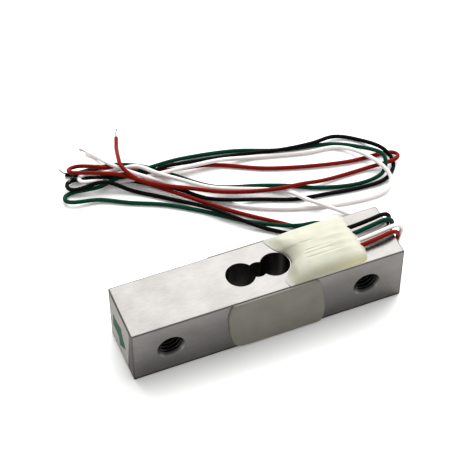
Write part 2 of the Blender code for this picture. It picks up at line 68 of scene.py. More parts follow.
# %% The camera
CAMERA_AZIMUTH = math.radians(-22.39)
CAMERA_ELEVATION = math.radians(48.15)
CAMERA_DISTANCE = 0.3085
CAMERA_TARGET = Vector((0.00166, 0.01431, 0.00635))
CAMERA_LENS = 119.06

away = Vector((
    math.sin(CAMERA_AZIMUTH) * math.cos(CAMERA_ELEVATION),
    -math.cos(CAMERA_AZIMUTH) * math.cos(CAMERA_ELEVATION),
    math.sin(CAMERA_ELEVATION),
))
bpy.ops.object.camera_add(
    location=CAMERA_TARGET + away * CAMERA_DISTANCE,
    rotation=(-away).to_track_quat("-Z", "Y").to_euler(),
)
camera = bpy.context.object
camera.name = "product_camera"
camera.data.lens = CAMERA_LENS
camera.data.sensor_width = 36.0
bpy.context.scene.camera = camera
print(f"camera {CAMERA_DISTANCE / MM:.0f} mm away, lens {CAMERA_LENS:.0f} mm")

# %% [markdown]
# ## Colours and nodes
# Colours are written as the sRGB hex values that a picture editor shows, and one function turns
# them into the linear light that Cycles counts in. One more small function adds a shader node, sets
# it up and wires its inputs, which keeps each material below short enough to read.


# %% Helpers for materials
def linear(hex_colour):
    """Linear RGBA of an sRGB hex colour such as '#d9d8d4'."""
    channels = [int(hex_colour[i:i + 2], 16) / 255 for i in (1, 3, 5)]
    light = [c / 12.92 if c <= 0.04045 else ((c + 0.055) / 1.055) ** 2.4 for c in channels]
    return (*light, 1.0)


def add_node(tree, kind, inputs=None, **settings):
    """Add a node; inputs may be plain values or the sockets to link."""
    node = tree.nodes.new(kind)
    for name, value in settings.items():
        setattr(node, name, value)
    for name, value in (inputs or {}).items():
        if isinstance(value, bpy.types.NodeSocket):
            tree.links.new(value, node.inputs[name])
        else:
            node.inputs[name].default_value = value
    return node


def new_material(name, **sockets):
    """A material with one Principled shader, whose sockets take plain values here."""
    made = bpy.data.materials.new(name)
    made.use_nodes = True
    shader = made.node_tree.nodes["Principled BSDF"]
    for socket, value in sockets.items():
        shader.inputs[socket.replace("_", " ")].default_value = value
    return made, made.node_tree, shader


def dress(piece, made):
    """Give a piece this one material."""
    piece.data.materials.clear()
    piece.data.materials.append(made)


# %% [markdown]
# ## The studio
# Small electronics are often shot on a white sweep in a bright white room, which is a plain world
# colour here. One large softbox hangs above the bar, behind it and to its right, which throws a
# short soft shadow to the bar's front and left. The bar's top mirrors it and turns nearly white,
# while the front face mirrors the shaded sweep and stays grey, as in the photograph. The view
# transform is Standard, because a filmic one would turn the white floor grey.

# %% Floor and lights
FLOOR_SIZE = 6.0
KEY_SIZE = 1.2
KEY_PLACE = Vector((0.34, 0.54, 0.71))
KEY_WATTS = 21.5
SKY_LIGHT = 0.82

bpy.ops.object.select_all(action="DESELECT")
bpy.ops.mesh.primitive_plane_add(size=FLOOR_SIZE, location=(0.0, 0.0, 0.0))
floor = bpy.context.object
floor.name = "studio_floor"
paper, *_ = new_material(
    "matt_white_paper", Base_Color=linear("#f6f6f5"), Roughness=0.9, Specular_IOR_Level=0.1)
dress(floor, paper)

bpy.ops.object.light_add(type="AREA", location=KEY_PLACE)
key = bpy.context.object
key.name = "key_softbox"
key.data.shape = "SQUARE"
key.data.size = KEY_SIZE
key.data.energy = KEY_WATTS
key.rotation_euler = KEY_PLACE.to_track_quat("Z", "Y").to_euler()

world = bpy.data.worlds.new("studio_sky")
world.use_nodes = True
world.node_tree.nodes["Background"].inputs["Color"].default_value = linear("#ffffff")
world.node_tree.nodes["Background"].inputs["Strength"].default_value = SKY_LIGHT
bpy.context.scene.world = world
bpy.context.scene.view_settings.view_transform = "Standard"
bpy.context.scene.view_settings.look = "None"
print("studio: floor, one softbox and a pale sky")

# %% [markdown]
# ## The leads' routes
# Four thin leads come out of the silicone side by side, drop over the end of the bar, turn back
# along the floor behind it and lie in two long bends. Nobody can draw such a heap as arcs and
# straight lines. Each route is a short list of given points instead, the same as in the CAD
# model, and a smooth curve is drawn through them. Where one lead lies over another, its points are
# raised in a long low hump.
#
# The free end of each lead is stripped, and its bare copper has two more points.

# %% Route points, in metres
RED_ROUTE = [
    (0.0132, -0.0030, 0.0137), (0.0195, -0.0028, 0.0138), (0.0240, -0.0025, 0.0140),
    (0.0272, -0.0020, 0.0139), (0.0286, -0.0016, 0.0124), (0.0286, -0.0007, 0.0086),
    (0.0296, 0.0022, 0.0032), (0.0293, 0.0095, 0.0006), (0.0232, 0.0142, 0.0016),
    (0.0184, 0.0153, 0.0006), (0.0133, 0.0193, 0.0006), (0.0053, 0.0263, 0.0005),
    (-0.0019, 0.0328, 0.0013), (-0.0076, 0.0386, 0.0015), (-0.0119, 0.0416, 0.0029),
    (-0.0142, 0.0426, 0.0035), (-0.0212, 0.0467, 0.0026), (-0.0222, 0.0476, 0.0022),
    (-0.0223, 0.0488, 0.0018), (-0.0216, 0.0496, 0.0013), (-0.0203, 0.0498, 0.0012),
    (-0.0174, 0.0478, 0.0020), (-0.0092, 0.0448, 0.0005), (-0.0037, 0.0414, 0.0015),
    (0.0062, 0.0400, 0.0006), (0.0176, 0.0344, 0.0005), (0.0334, 0.0299, 0.0006),
    (0.0420, 0.0294, 0.0005), (0.0436, 0.0286, 0.0007), (0.0438, 0.0271, 0.0011),
    (0.0423, 0.0260, 0.0015), (0.0356, 0.0267, 0.0006), (0.0264, 0.0267, 0.0008),
    (0.0215, 0.0268, 0.0016), (0.0162, 0.0275, 0.0015), (0.0067, 0.0308, 0.0011),
    (-0.0006, 0.0337, 0.0023), (-0.0067, 0.0374, 0.0024), (-0.0105, 0.0398, 0.0034),
    (-0.0123, 0.0435, 0.0043), (-0.0119, 0.0462, 0.0037), (-0.0109, 0.0506, 0.0021),
    (-0.0096, 0.0547, 0.0011),
]
RED_TIP = [(-0.0092, 0.0560, 0.0011), (-0.0087, 0.0571, 0.0012)]
BLACK_ROUTE = [
    (0.0132, 0.0027, 0.0137), (0.0195, 0.0022, 0.0138), (0.0243, 0.0023, 0.0141),
    (0.0276, 0.0027, 0.0140), (0.0289, 0.0030, 0.0125), (0.0288, 0.0038, 0.0084),
    (0.0290, 0.0054, 0.0038), (0.0268, 0.0089, 0.0010), (0.0190, 0.0131, 0.0005),
    (0.0114, 0.0177, 0.0006), (0.0048, 0.0236, 0.0015), (0.0013, 0.0277, 0.0015),
    (-0.0051, 0.0341, 0.0006), (-0.0115, 0.0391, 0.0007), (-0.0166, 0.0420, 0.0026),
    (-0.0222, 0.0430, 0.0015), (-0.0237, 0.0438, 0.0014), (-0.0237, 0.0456, 0.0012),
    (-0.0222, 0.0464, 0.0010), (-0.0186, 0.0456, 0.0005), (-0.0139, 0.0431, 0.0026),
    (-0.0068, 0.0417, 0.0015), (-0.0042, 0.0415, 0.0025), (0.0031, 0.0424, 0.0006),
    (0.0151, 0.0398, 0.0009), (0.0221, 0.0378, 0.0013), (0.0282, 0.0370, 0.0015),
    (0.0338, 0.0377, 0.0008), (0.0384, 0.0350, 0.0005), (0.0415, 0.0294, 0.0017),
    (0.0422, 0.0261, 0.0005), (0.0385, 0.0223, 0.0007), (0.0332, 0.0221, 0.0005),
    (0.0245, 0.0233, 0.0005), (0.0190, 0.0242, 0.0005), (0.0115, 0.0271, 0.0006),
    (0.0053, 0.0286, 0.0015), (0.0013, 0.0312, 0.0012), (-0.0028, 0.0354, 0.0014),
    (-0.0075, 0.0396, 0.0006), (-0.0132, 0.0440, 0.0005), (-0.0229, 0.0490, 0.0005),
]
BLACK_TIP = [(-0.0234, 0.0497, 0.0008), (-0.0238, 0.0505, 0.0011)]
GREEN_ROUTE = [
    (0.0132, 0.0008, 0.0137), (0.0195, 0.0005, 0.0138), (0.0238, 0.0008, 0.0141),
    (0.0275, 0.0013, 0.0140), (0.0289, 0.0016, 0.0125), (0.0288, 0.0023, 0.0086),
    (0.0299, 0.0040, 0.0039), (0.0280, 0.0092, 0.0008), (0.0206, 0.0161, 0.0008),
    (0.0157, 0.0165, 0.0016), (0.0082, 0.0215, 0.0006), (-0.0007, 0.0289, 0.0005),
    (-0.0067, 0.0331, 0.0005), (-0.0131, 0.0363, 0.0005), (-0.0187, 0.0393, 0.0007),
    (-0.0238, 0.0402, 0.0011), (-0.0252, 0.0410, 0.0010), (-0.0252, 0.0427, 0.0007),
    (-0.0237, 0.0435, 0.0005), (-0.0174, 0.0423, 0.0012), (-0.0137, 0.0429, 0.0016),
    (-0.0094, 0.0432, 0.0015), (-0.0058, 0.0429, 0.0020), (0.0004, 0.0441, 0.0007),
    (0.0121, 0.0422, 0.0005), (0.0213, 0.0387, 0.0005), (0.0324, 0.0361, 0.0005),
    (0.0372, 0.0332, 0.0006), (0.0402, 0.0272, 0.0027), (0.0398, 0.0251, 0.0019),
    (0.0382, 0.0236, 0.0011), (0.0331, 0.0232, 0.0006), (0.0244, 0.0255, 0.0005),
    (0.0189, 0.0284, 0.0005), (0.0137, 0.0306, 0.0005), (0.0046, 0.0340, 0.0005),
    (-0.0031, 0.0414, 0.0005), (-0.0070, 0.0451, 0.0005), (-0.0126, 0.0478, 0.0006),
    (-0.0171, 0.0482, 0.0006), (-0.0206, 0.0474, 0.0016), (-0.0221, 0.0473, 0.0009),
]
GREEN_TIP = [(-0.0226, 0.0462, 0.0018), (-0.0233, 0.0452, 0.0021)]
WHITE_ROUTE = [
    (0.0132, -0.0011, 0.0137), (0.0195, -0.0015, 0.0138), (0.0250, -0.0013, 0.0142),
    (0.0284, -0.0008, 0.0140), (0.0299, -0.0004, 0.0123), (0.0302, 0.0007, 0.0082),
    (0.0310, 0.0028, 0.0043), (0.0309, 0.0095, 0.0011), (0.0271, 0.0163, 0.0005),
    (0.0206, 0.0216, 0.0021), (0.0178, 0.0270, 0.0006), (0.0037, 0.0334, 0.0012),
    (-0.0004, 0.0371, 0.0011), (-0.0056, 0.0401, 0.0027), (-0.0088, 0.0437, 0.0026),
    (-0.0128, 0.0453, 0.0015), (-0.0169, 0.0457, 0.0015), (-0.0194, 0.0467, 0.0014),
    (-0.0209, 0.0459, 0.0017), (-0.0209, 0.0442, 0.0021), (-0.0194, 0.0434, 0.0024),
    (-0.0180, 0.0434, 0.0020), (-0.0144, 0.0432, 0.0005), (-0.0100, 0.0413, 0.0015),
    (0.0005, 0.0401, 0.0020), (0.0082, 0.0397, 0.0016), (0.0138, 0.0391, 0.0007),
    (0.0268, 0.0358, 0.0005), (0.0324, 0.0350, 0.0005), (0.0359, 0.0320, 0.0011),
    (0.0388, 0.0243, 0.0024), (0.0393, 0.0213, 0.0012), (0.0366, 0.0191, 0.0006),
    (0.0207, 0.0210, 0.0005), (0.0085, 0.0263, 0.0005), (0.0003, 0.0332, 0.0005),
    (-0.0039, 0.0381, 0.0007), (-0.0106, 0.0417, 0.0033), (-0.0137, 0.0463, 0.0026),
    (-0.0150, 0.0511, 0.0006), (-0.0168, 0.0537, 0.0006),
]
WHITE_TIP = [(-0.0173, 0.0542, 0.0007), (-0.0177, 0.0546, 0.0008)]

# %% [markdown]
# ## From points to leads
# A Catmull-Rom curve passes through all its points, which suits routes whose points were given one
# by one. Its centripetal form makes no loops of its own where points lie close together. The curve
# is then cut into even steps and averaged a little, because a springy lead evens out its own bends.
# A curve object with a round bevel is the natural tube for a lead: it keeps its thickness in every
# bend.


# %% Smooth curve through a route
def smooth_curve(points, steps):
    """Centripetal Catmull-Rom curve through the points."""
    ends = [2 * points[0] - points[1], *points, 2 * points[-1] - points[-2]]
    curve = []
    for i in range(1, len(ends) - 2):
        p0, p1, p2, p3 = ends[i - 1:i + 3]
        t1 = (p1 - p0).length ** 0.5
        t2 = t1 + (p2 - p1).length ** 0.5
        t3 = t2 + (p3 - p2).length ** 0.5
        for k in range(steps):
            t = t1 + (t2 - t1) * k / steps
            a1 = p0.lerp(p1, t / t1)
            a2 = p1.lerp(p2, (t - t1) / (t2 - t1))
            a3 = p2.lerp(p3, (t - t2) / (t3 - t2))
            b1 = a1.lerp(a2, t / t2)
            b2 = a2.lerp(a3, (t - t1) / (t3 - t1))
            curve.append(b1.lerp(b2, (t - t1) / (t2 - t1)))
    curve.append(points[-1].copy())
    return curve


# %% Even steps and easing
EASE_STEP = 0.0002
EASE_REACH = 3
EASE_PASSES = 2


def even_steps(curve, step):
    """The curve as points at even steps along it."""
    points = [curve[0]]
    left = step
    for a, b in zip(curve, curve[1:]):
        span = (b - a).length
        while span > left:
            a = a.lerp(b, left / span)
            points.append(a)
            span = (b - a).length
            left = step
        left -= span
    points.append(curve[-1])
    return points


def eased(points):
    """Each point moved to the average of its neighbours, which opens the tightest bends."""
    for _ in range(EASE_PASSES):
        last = len(points) - 1
        reaches = [min(EASE_REACH, i, last - i) for i in range(last + 1)]
        points = [sum(points[i - k:i + k + 1], Vector()) / (2 * k + 1)
                  for i, k in enumerate(reaches)]
    return points


# %% Round bars along paths
def round_bars(name, paths, radius, roundness):
    """Round bars with closed ends, one along each path, as one curve object."""
    line = bpy.data.curves.new(name, "CURVE")
    line.dimensions = "3D"
    line.bevel_depth = radius
    line.bevel_resolution = roundness
    line.use_fill_caps = True
    for path in paths:
        spline = line.splines.new("POLY")
        spline.points.add(len(path) - 1)
        for knot, point in zip(spline.points, path):
            knot.co = (*point, 1.0)
        spline.use_smooth = True
    piece = bpy.data.objects.new(name, line)
    bpy.context.scene.collection.objects.link(piece)
    return piece


def length_of(points):
    """Length of a line through the points."""
    return sum((b - a).length for a, b in zip(points, points[1:]))


# %% [markdown]
# ## Insulation
# The leads are insulated with PVC, extruded over the copper and pigmented in the mass. It is a soft
# plastic with an IOR of about 1.53, and a matting agent takes nearly all of its gloss. Extrusion
# leaves a faint waviness, and handling leaves dull patches, so noise of about 0.4 mm gives a very
# shallow bump, and noise of 3 mm varies the colour and the roughness.


# %% PVC for the four leads
PVC_IOR = 1.53
PVC_RIPPLE_MM = 0.4
PVC_PATCH_MM = 3.0
PVC_RIPPLE_DEPTH_MM = 0.02


def pvc_insulation(name, colour, pale, roughness):
    """Pigmented PVC; pale is the colour of its rubbed patches."""
    made, tree, shader = new_material(name, IOR=PVC_IOR, Specular_IOR_Level=0.03)
    place = add_node(tree, "ShaderNodeTexCoord")
    patches = add_node(tree, "ShaderNodeTexNoise", {
        "Vector": place.outputs["Object"], "Scale": 1 / (PVC_PATCH_MM * MM), "Detail": 3.0})
    tint = add_node(tree, "ShaderNodeMix", {
        "Factor": patches.outputs["Fac"], "A": linear(colour), "B": linear(pale),
    }, data_type="RGBA")
    dull = add_node(tree, "ShaderNodeMapRange", {
        "Value": patches.outputs["Fac"], "From Min": 0.3, "From Max": 0.7,
        "To Min": roughness - 0.07, "To Max": roughness + 0.09})
    ripple = add_node(tree, "ShaderNodeTexNoise", {
        "Vector": place.outputs["Object"], "Scale": 1 / (PVC_RIPPLE_MM * MM), "Detail": 2.0})
    bump = add_node(tree, "ShaderNodeBump", {
        "Height": ripple.outputs["Fac"], "Strength": 0.25, "Distance": PVC_RIPPLE_DEPTH_MM * MM})
    tree.links.new(tint.outputs["Result"], shader.inputs["Base Color"])
    tree.links.new(dull.outputs["Result"], shader.inputs["Roughness"])
    tree.links.new(bump.outputs["Normal"], shader.inputs["Normal"])
    return made


INSULATION = {
    "red": pvc_insulation("red_pvc_insulation", "#640e07", "#711309", 0.45),
    "black": pvc_insulation("black_pvc_insulation", "#040303", "#080707", 0.5),
    "green": pvc_insulation("green_pvc_insulation", "#02251a", "#033928", 0.42),
    "white": pvc_insulation("white_pvc_insulation", "#dcd7d5", "#d2cccb", 0.45),
}
print("insulation:", ", ".join(INSULATION))

# %% [markdown]
# ## Stripped ends
# Inside each lead are seven fine tinned copper strands. Where the insulation is stripped they show
# as a short twisted bundle: six helices round one straight strand, all drawn as paths and given the
# same round bevel. Tin is a grey metal, dull from handling. The red and the white bundle were
# dipped in solder for their tests, which left a small pale bead on each.
#
# The finish is a recipe for any plain material with a fine grain: noise of a real size mixes two
# close colours and varies the roughness.


# %% Grained finish
TIN = {"grain_mm": 0.5, "roughness": 0.375, "spread": 0.125, "detail": 3.0, "Metallic": 1.0}


def speckled(name, colour, other, grain_mm, roughness, spread=0.08, detail=4.0, **sockets):
    """Noise mixes two close colours and varies the roughness by the spread."""
    made, tree, shader = new_material(name, **sockets)
    place = add_node(tree, "ShaderNodeTexCoord")
    grain = add_node(tree, "ShaderNodeTexNoise", {
        "Vector": place.outputs["Object"], "Scale": 1 / (grain_mm * MM), "Detail": detail})
    tint = add_node(tree, "ShaderNodeMix", {
        "Factor": grain.outputs["Fac"], "A": linear(colour), "B": linear(other),
    }, data_type="RGBA")
    dull = add_node(tree, "ShaderNodeMapRange", {
        "Value": grain.outputs["Fac"], "To Min": roughness - spread, "To Max": roughness + spread})
    tree.links.new(tint.outputs["Result"], shader.inputs["Base Color"])
    tree.links.new(dull.outputs["Result"], shader.inputs["Roughness"])
    return made


tinned_copper = speckled("tinned_copper_strand", "#55524f", "#6b6763", **TIN)
bead_solder = speckled("tin_solder_bead", "#bcbcb8", "#aaaaa6", **TIN)
print(f"finishes: {tinned_copper.name}, {bead_solder.name}")

# %% Strands twisted round a curve
STRAND_RADIUS = 0.000048
STRAND_TURNS_PER_MM = 0.45
STRAND_STEPS = 26
OUTER_STRANDS = 6


def strand_paths(points):
    """Paths along a curve: the outer strands' helices, and one down the middle."""
    middle = even_steps(smooth_curve(points, 12), length_of(points) / STRAND_STEPS)
    paths = [[] for _ in range(OUTER_STRANDS + 1)]
    travelled = 0.0
    for i, point in enumerate(middle):
        along = (middle[min(i + 1, len(middle) - 1)] - middle[max(i - 1, 0)]).normalized()
        side = along.cross(Vector((0.0, 0.0, 1.0))).normalized()
        up = side.cross(along)
        if i:
            travelled += (point - middle[i - 1]).length
        for strand, path in enumerate(paths):
            angle = math.tau * (strand / OUTER_STRANDS + travelled / MM * STRAND_TURNS_PER_MM)
            out = 2 * STRAND_RADIUS if strand < OUTER_STRANDS else 0.0
            path.append(point + (side * math.cos(angle) + up * math.sin(angle)) * out)
    return paths


# %% [markdown]
# ## The four leads
# Each lead is a limp wire of its real length, bare at its far end, that lies loose. The photograph
# shows all of each lead, so its length is what the route measures, near enough 245 mm. The leads
# differ only in colour and route, so one loop makes them.

# %% Make the leads
LEAD_RADIUS = 0.00043
LEAD_STEP = 0.0006
LEAD_ROUNDNESS = 4
CURVE_STEPS = 24
BEADS = {"red": 0.00024, "white": 0.00036}
ROUTES = {
    "red": (RED_ROUTE, RED_TIP),
    "black": (BLACK_ROUTE, BLACK_TIP),
    "green": (GREEN_ROUTE, GREEN_TIP),
    "white": (WHITE_ROUTE, WHITE_TIP),
}

for colour, (route, tip) in ROUTES.items():
    line = eased(even_steps(smooth_curve([Vector(p) for p in route], CURVE_STEPS), EASE_STEP))
    lead = round_bars(f"{colour}_lead", [even_steps(line, LEAD_STEP)], LEAD_RADIUS, LEAD_ROUNDNESS)
    dress(lead, INSULATION[colour])
    bundle = strand_paths([line[-4], *[Vector(p) for p in tip]])
    strands = round_bars(f"{colour}_strands", bundle, STRAND_RADIUS, 1)
    dress(strands, tinned_copper)
    ends = [strands]
    if colour in BEADS:
        bpy.ops.object.select_all(action="DESELECT")
        bpy.ops.mesh.primitive_uv_sphere_add(
            segments=20, ring_count=10, radius=BEADS[colour], location=tip[-1])
        bead = bpy.context.object
        bead.name = bead.data.name = f"{colour}_solder_bead"
        bpy.ops.object.transform_apply(location=True)
        bpy.ops.object.shade_smooth()
        dress(bead, bead_solder)
        ends.append(bead)
    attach(lead, "root")
    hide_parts(f"{colour}_wire")
    for end in ends:
        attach(end, "root")
        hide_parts(f"{colour}_conductor")
    length_of(line)
    print(f"{colour} lead: {length_of(line) / MM:.0f} mm")

# %% [markdown]
# ## Tools of the bench
# The rest is modelled with Blender's own operators, as by hand. An operator works on all that is
# selected, so one helper selects a single piece first. Another one applies a finished piece's
# place, turn and size to its mesh, because each piece has to sit at the origin as the CAD nodes do.
# A third one applies a modifier, and the last one cuts: it subtracts a cutter from a piece and
# throws the cutter away.


# %% Pick, settle and cut
def pick(piece):
    """Select this piece alone."""
    bpy.ops.object.select_all(action="DESELECT")
    piece.select_set(True)
    bpy.context.view_layer.objects.active = piece


def settle(piece, name):
    """Name a piece and move its place, turn and size into its mesh."""
    piece.name = piece.data.name = name
    pick(piece)
    bpy.ops.object.transform_apply(location=True, rotation=True, scale=True)
    return piece


def use_modifier(piece, kind, **settings):
    """Add a modifier and apply it."""
    pick(piece)
    step = piece.modifiers.new(kind.lower(), kind)
    for name, value in settings.items():
        setattr(step, name, value)
    bpy.ops.object.modifier_apply(modifier=step.name)


def cut_away(piece, cutter):
    """Subtract the cutter from the piece."""
    use_modifier(piece, "BOOLEAN", operation="DIFFERENCE", solver="EXACT", object=cutter)
    bpy.data.objects.remove(cutter, do_unlink=True)


# %% [markdown]
# ## The spring bar
# The bar is sawn from a drawn aluminium profile, milled square and deburred. So it starts as a cube
# at its size, and a bevel modifier takes about a fifth of a millimetre off its edges. The relief
# hole is two wide bores and a narrow one between them, all drilled straight down.

# %% Square bar with its relief bores
EDGE_BREAK = 0.00022
ROUND_SIDES = 96
RELIEF_RADIUS = 0.0029
RELIEF_SPACING = 0.007
WAIST_RADIUS = 0.00185
RELIEF_BORES = [(-RELIEF_SPACING / 2, RELIEF_RADIUS), (RELIEF_SPACING / 2, RELIEF_RADIUS),
                (0.0, WAIST_RADIUS)]
bar_middle = (bar_low + bar_high) / 2

bpy.ops.object.select_all(action="DESELECT")
bpy.ops.mesh.primitive_cube_add(size=1.0, location=bar_middle)
bar = bpy.context.object
bar.scale = bar_high - bar_low
settle(bar, "spring_bar")
use_modifier(bar, "BEVEL", width=EDGE_BREAK, segments=3, limit_method="NONE")

for x, radius in RELIEF_BORES:
    bpy.ops.object.select_all(action="DESELECT")
    bpy.ops.mesh.primitive_cylinder_add(
        vertices=ROUND_SIDES, radius=radius, depth=2 * bar_height,
        location=bar_middle + Vector((x, 0.0, 0.0)))
    cut_away(bar, bpy.context.object)
print(f"bar with its relief hole: {len(bar.data.polygons)} faces")

# %% [markdown]
# ## Tapped holes
# Two M5 holes go through the bar from front to back. Each one is drilled to the core size of
# 4.2 mm, countersunk on both faces and then tapped, which leaves a helical groove of 0.8 mm pitch.
# Drill and countersinks are one cutter: a cylinder whose end faces are extruded and widened. A
# second cutter is the path of the tap's tooth: a small trapezoid that the Screw modifier winds up
# into a helix. Both holes are drilled before the first is tapped, as a machinist does. The tap
# starts a fraction of a degree round, so that its edges never fall on those of the drilled hole,
# which would leave gaps.

# %% Drill and countersink
HOLE_SPACING = 0.04
TAP_DRILL_RADIUS = 0.0021
COUNTERSINK_DEPTH = 0.00065
CUT_MARGIN = 0.001
ALONG_Y = math.radians(90)
flare = COUNTERSINK_DEPTH + CUT_MARGIN
widen = (TAP_DRILL_RADIUS + flare) / TAP_DRILL_RADIUS
hole_centres = [bar_middle + Vector((x, 0.0, 0.0)) for x in (-HOLE_SPACING / 2, HOLE_SPACING / 2)]

for centre in hole_centres:
    bpy.ops.object.select_all(action="DESELECT")
    bpy.ops.mesh.primitive_cylinder_add(
        vertices=ROUND_SIDES, radius=TAP_DRILL_RADIUS, depth=bar_width - 2 * COUNTERSINK_DEPTH)
    drill = bpy.context.object
    bpy.ops.object.mode_set(mode="EDIT")
    for end in (-1, 1):
        bpy.ops.mesh.select_all(action="DESELECT")
        shape = bmesh.from_edit_mesh(drill.data)
        for face in shape.faces:
            face.select = face.normal.z * end > 0.9
        bmesh.update_edit_mesh(drill.data)
        bpy.ops.mesh.extrude_region_move(
            TRANSFORM_OT_translate={"value": (0.0, 0.0, end * flare)})
        bpy.ops.transform.resize(value=(widen, widen, 1.0), center_override=(0.0, 0.0, 0.0))
    bpy.ops.object.mode_set(mode="OBJECT")
    drill.location = centre
    drill.rotation_euler = (ALONG_Y, 0.0, 0.0)
    cut_away(bar, drill)
print(f"drilled bar: {len(bar.data.polygons)} faces")

# %% Tap both holes
THREAD_RADIUS = 0.0025
THREAD_PITCH = 0.0008
THREAD_TURNS = 18
THREAD_STEPS = 40
TOOTH_ROOT = 0.00034
TOOTH_TIP = 0.00006
TOOTH_OVERLAP = 0.0001
TAP_START = math.radians(0.4)
inner = TAP_DRILL_RADIUS - TOOTH_OVERLAP
start = -THREAD_PITCH * THREAD_TURNS / 2
TOOTH_SECTION = [(inner, -TOOTH_ROOT), (THREAD_RADIUS, -TOOTH_TIP),
                 (inner, TOOTH_ROOT), (THREAD_RADIUS, TOOTH_TIP)]

for centre in hole_centres:
    bpy.ops.object.select_all(action="DESELECT")
    bpy.ops.mesh.primitive_plane_add(size=1.0)
    tooth = bpy.context.object
    for vertex, (radius, height) in zip(tooth.data.vertices, TOOTH_SECTION):
        vertex.co = (radius, 0.0, start + height)
    bpy.ops.object.mode_set(mode="EDIT")
    bpy.ops.mesh.select_all(action="SELECT")
    bpy.ops.mesh.delete(type="ONLY_FACE")
    bpy.ops.object.mode_set(mode="OBJECT")
    use_modifier(tooth, "SCREW", axis="Z", angle=math.tau, screw_offset=THREAD_PITCH,
                 iterations=THREAD_TURNS, steps=THREAD_STEPS, render_steps=THREAD_STEPS)
    bpy.ops.object.mode_set(mode="EDIT")
    bpy.ops.mesh.select_all(action="SELECT")
    bpy.ops.mesh.fill_holes(sides=4)
    bpy.ops.mesh.select_all(action="SELECT")
    bpy.ops.mesh.normals_make_consistent(inside=False)
    bpy.ops.object.mode_set(mode="OBJECT")
    tooth.location = centre
    tooth.rotation_euler = (ALONG_Y, TAP_START, 0.0)
    cut_away(bar, tooth)
print(f"tapped bar: {len(bar.data.polygons)} faces")

# %% Smooth shading, and a check that the bar is closed
pick(bar)
bpy.ops.object.shade_smooth_by_angle(angle=math.radians(30))
checked = bmesh.new()
checked.from_mesh(bar.data)
open_edges = sum(not edge.is_manifold for edge in checked.edges)
print(f"{open_edges} open edges, {checked.calc_volume() / MM ** 3:.0f} cubic mm of metal")
checked.free()

# %% [markdown]
# ## Milled aluminium
# The bar's alloy is left bare after milling and a light brushing along its length. Bare aluminium
# is a grey mirror that is blurred by fine scratches: it is nearly white where it faces the softbox,
# and dark where it faces the shade. The scratches are noise drawn out to 1.6 mm along the bar and
# about 0.14 mm across it. They drive the roughness and a shallow bump, and broad patches from
# handling vary the tint and the roughness a little. Scratched and oxidised metal gains less at a
# grazing angle than a clean mirror does, so the specular tint, which sets the reflection near the
# edge of sight, is a light grey.

# %% Brushed aluminium
SCRATCH_LENGTH_MM = 1.6
SCRATCH_WIDTH_MM = 0.14
SCRATCH_DEPTH_MM = 0.01
PATCH_MM = 5.0
along_bar = 1 / (SCRATCH_LENGTH_MM * MM)
across_bar = 1 / (SCRATCH_WIDTH_MM * MM)

alloy, alloy_tree, alloy_shader = new_material(
    "brushed_milled_aluminium", Metallic=1.0, Specular_Tint=linear("#b8b6b4"))
alloy_place = add_node(alloy_tree, "ShaderNodeTexCoord")
stretched = add_node(alloy_tree, "ShaderNodeMapping", {
    "Vector": alloy_place.outputs["Object"], "Scale": (along_bar, across_bar, across_bar)})
scratches = add_node(alloy_tree, "ShaderNodeTexNoise", {
    "Vector": stretched.outputs["Vector"], "Scale": 1.0, "Detail": 3.0, "Roughness": 0.6})
patches = add_node(alloy_tree, "ShaderNodeTexNoise", {
    "Vector": alloy_place.outputs["Object"], "Scale": 1 / (PATCH_MM * MM), "Detail": 4.0})
wear = add_node(alloy_tree, "ShaderNodeMath", {
    0: scratches.outputs["Fac"], 1: patches.outputs["Fac"]}, operation="ADD")
dull = add_node(alloy_tree, "ShaderNodeMapRange", {
    "Value": wear.outputs["Value"], "From Min": 0.6, "From Max": 1.4,
    "To Min": 0.26, "To Max": 0.33})
shade = add_node(alloy_tree, "ShaderNodeMapRange", {
    "Value": wear.outputs["Value"], "From Min": 0.65, "From Max": 1.35})
metal_tint = add_node(alloy_tree, "ShaderNodeMix", {
    "Factor": shade.outputs["Result"], "A": linear("#757371"), "B": linear("#686664"),
}, data_type="RGBA")
bump = add_node(alloy_tree, "ShaderNodeBump", {
    "Height": scratches.outputs["Fac"], "Strength": 0.25, "Distance": SCRATCH_DEPTH_MM * MM})
alloy_tree.links.new(dull.outputs["Result"], alloy_shader.inputs["Roughness"])
alloy_tree.links.new(bump.outputs["Normal"], alloy_shader.inputs["Normal"])
print(f"scratches: {SCRATCH_LENGTH_MM} x {SCRATCH_WIDTH_MM} mm")

# %% [markdown]
# ## Painted shade in the tapped holes
# The metal is painted darker where it lies nearer to a hole's axis than the thread's root: painted
# shade that stands in for the dark deep inside the threads. The two axes are equally far from the
# bar's middle. Taking X without its sign folds one hole onto the other, and a single distance then
# serves for both.

# %% Painted shade in the threads
HOLE_SHADE_FROM = 0.00265
HOLE_SHADE_FULL = 0.0023
HOLE_SHADE_SHARE = 0.85

axes = add_node(alloy_tree, "ShaderNodeSeparateXYZ", {"Vector": alloy_place.outputs["Object"]})
folded = add_node(alloy_tree, "ShaderNodeMath", {0: axes.outputs["X"]}, operation="ABSOLUTE")
from_axis = add_node(alloy_tree, "ShaderNodeCombineXYZ", {
    "X": folded.outputs["Value"], "Z": axes.outputs["Z"]})
to_axis = add_node(alloy_tree, "ShaderNodeVectorMath", {
    0: from_axis.outputs["Vector"], 1: (HOLE_SPACING / 2, 0.0, bar_middle.z),
}, operation="DISTANCE")
# Painted shade: the metal darkens inside the tapped holes.
hole_shade = add_node(alloy_tree, "ShaderNodeMapRange", {
    "Value": to_axis.outputs["Value"], "From Min": HOLE_SHADE_FROM, "From Max": HOLE_SHADE_FULL,
    "To Max": HOLE_SHADE_SHARE})
hole_shaded_tint = add_node(alloy_tree, "ShaderNodeMix", {
    "Factor": hole_shade.outputs["Result"], "A": metal_tint.outputs["Result"], "B": linear("#242322"),
}, data_type="RGBA")
print(f"oil within {HOLE_SHADE_FROM / MM:.2f} mm of the holes' axes")
